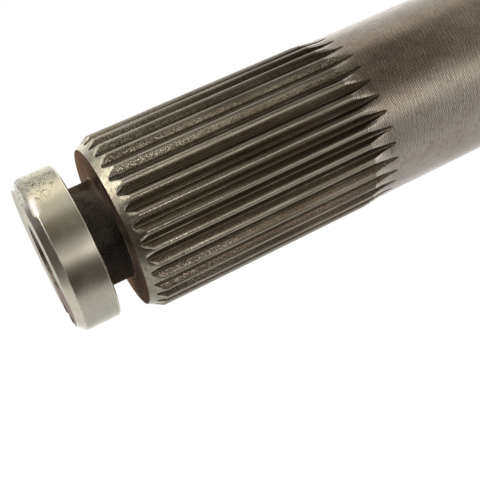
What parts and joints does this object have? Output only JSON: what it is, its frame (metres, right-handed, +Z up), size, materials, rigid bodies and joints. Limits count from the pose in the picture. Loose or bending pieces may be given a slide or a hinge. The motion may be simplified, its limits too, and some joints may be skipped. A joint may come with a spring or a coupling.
{
  "type": "splined shaft",
  "caption": "Round steel shaft with a button head, a groove for a clip behind it, a straight involute spline with run-outs, and a plain ground shank.",
  "frame": {"origin": "centre of the plain end face, on which the shaft stands", "axes": "+Z up the shaft's axis, from the plain end to the button head; +X through the middle of one tooth space"},
  "size_m": [0.0359, 0.036, 0.18],
  "materials": {
    "steel": "turned and ground, with dark oxide left in the tooth spaces, the clip groove and the centre hole"
  },
  "bodies": {
    "root": {"splined_shaft": "steel"}
  },
  "joints": []
}
